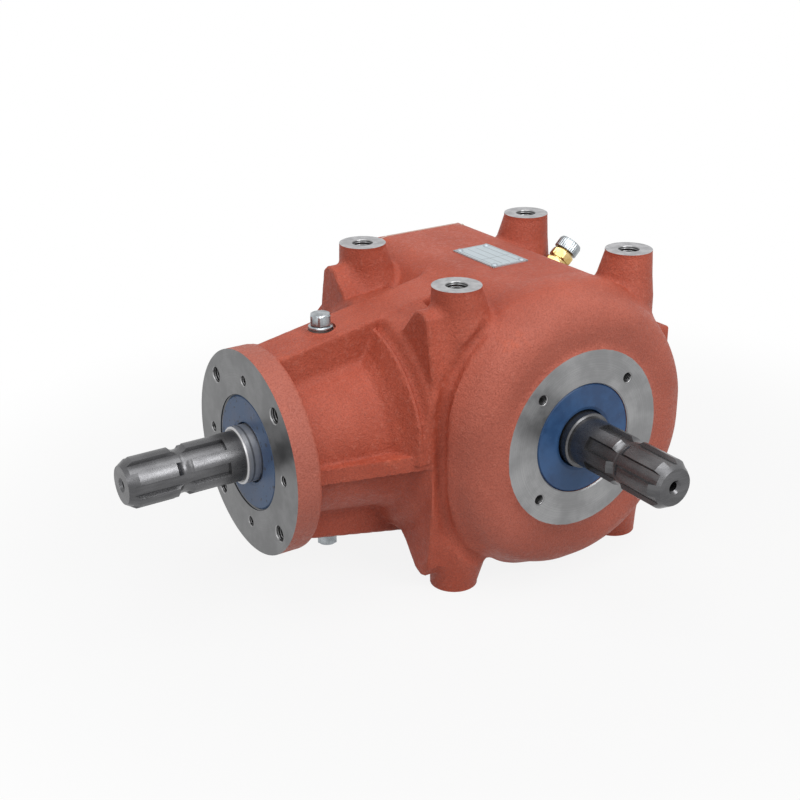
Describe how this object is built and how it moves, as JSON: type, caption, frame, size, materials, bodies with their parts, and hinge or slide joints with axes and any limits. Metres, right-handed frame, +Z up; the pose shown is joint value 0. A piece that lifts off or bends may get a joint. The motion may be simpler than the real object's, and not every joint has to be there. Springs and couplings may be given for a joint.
{
  "type": "gearbox",
  "caption": "Right-angle bevel gearbox: cast housing on foot bosses, long flanged input neck, round output bell and splined shafts with blue seals.",
  "frame": {"origin": "centre of the four foot bosses on the floor plane, below the crossing of the two shaft axes", "axes": "-X is the input shaft's outward direction, -Y is the output shaft's outward direction, +Z is up"},
  "size_m": [0.402, 0.3075, 0.224],
  "materials": {
    "red_oxide": "sand-cast iron under matte red-oxide primer, machined faces bare",
    "gasket_paper": "pale compressed gasket sheet",
    "seal_blue": "blue rubber-covered seal",
    "brass": "turned brass",
    "soft_aluminium": "soft sealing washer",
    "zinc_plate": "bluish zinc-plated steel",
    "plate_aluminium": "satin data plate",
    "shaft_steel": "dark machined steel",
    "dark_steel": "hardened and tempered steel",
    "bright_steel": "ground steel"
  },
  "bodies": {
    "housing": {"housing": "red_oxide", "bearing_cover": "red_oxide", "cover_gasket": "gasket_paper", "cover_screws": "zinc_plate", "input_spacer": "bright_steel", "input_bore_clip": "dark_steel", "input_seal": "seal_blue", "input_seal_spring": "bright_steel", "input_outer_cup": "bright_steel", "input_inner_cup": "bright_steel", "output_shim": "bright_steel", "output_bore_clip": "dark_steel", "output_seal": "seal_blue", "output_seal_spring": "bright_steel", "output_near_cup": "bright_steel", "output_far_cup": "bright_steel", "filler_plug": "zinc_plate", "filler_washer": "soft_aluminium", "drain_plug": "zinc_plate", "drain_washer": "soft_aluminium", "breather_body": "brass", "breather_cap": "zinc_plate", "data_plate": "plate_aluminium", "plate_rivets": "bright_steel"},
    "input_outer_roller_set": {"input_outer_rollers": "bright_steel", "input_outer_cage": "bright_steel"},
    "input_inner_roller_set": {"input_inner_rollers": "bright_steel", "input_inner_cage": "bright_steel"},
    "output_near_roller_set": {"output_near_rollers": "bright_steel", "output_near_cage": "bright_steel"},
    "output_far_roller_set": {"output_far_rollers": "bright_steel", "output_far_cage": "bright_steel"},
    "input_shaft": {"input_shaft": "shaft_steel", "bevel_pinion": "dark_steel", "pinion_key": "bright_steel", "pinion_washer": "bright_steel", "pinion_nut": "dark_steel", "distance_sleeve": "bright_steel", "input_shaft_clip": "dark_steel", "input_outer_cone": "bright_steel", "input_inner_cone": "bright_steel"},
    "output_shaft": {"output_shaft": "shaft_steel", "crown_gear": "dark_steel", "crown_key": "bright_steel", "output_shaft_clip": "dark_steel", "output_near_cone": "bright_steel", "output_far_cone": "bright_steel"}
  },
  "joints": [
    {"name": "output_spin", "type": "hinge", "parent": "housing", "child": "output_shaft", "pos_m": [0, 0, 0.112], "axis": [0, 1, 0], "continuous": true},
    {"name": "input_spin", "type": "hinge", "parent": "housing", "child": "input_shaft", "pos_m": [0, 0, 0.112], "axis": [1, 0, 0], "continuous": true},
    {"name": "input_outer_rollers_spin", "type": "hinge", "parent": "housing", "child": "input_outer_roller_set", "pos_m": [0, 0, 0.112], "axis": [1, 0, 0], "continuous": true},
    {"name": "input_inner_rollers_spin", "type": "hinge", "parent": "housing", "child": "input_inner_roller_set", "pos_m": [0, 0, 0.112], "axis": [1, 0, 0], "continuous": true},
    {"name": "output_near_rollers_spin", "type": "hinge", "parent": "housing", "child": "output_near_roller_set", "pos_m": [0, 0, 0.112], "axis": [0, 1, 0], "continuous": true},
    {"name": "output_far_rollers_spin", "type": "hinge", "parent": "housing", "child": "output_far_roller_set", "pos_m": [0, 0, 0.112], "axis": [0, 1, 0], "continuous": true}
  ],
  "couplings": [
    {"joint": "input_spin", "follows": "output_spin", "ratio": -1.9286},
    {"joint": "input_outer_rollers_spin", "follows": "output_spin", "ratio": -0.8216},
    {"joint": "input_inner_rollers_spin", "follows": "output_spin", "ratio": -0.8216},
    {"joint": "output_near_rollers_spin", "follows": "output_spin", "ratio": 0.426},
    {"joint": "output_far_rollers_spin", "follows": "output_spin", "ratio": 0.426}
  ]
}
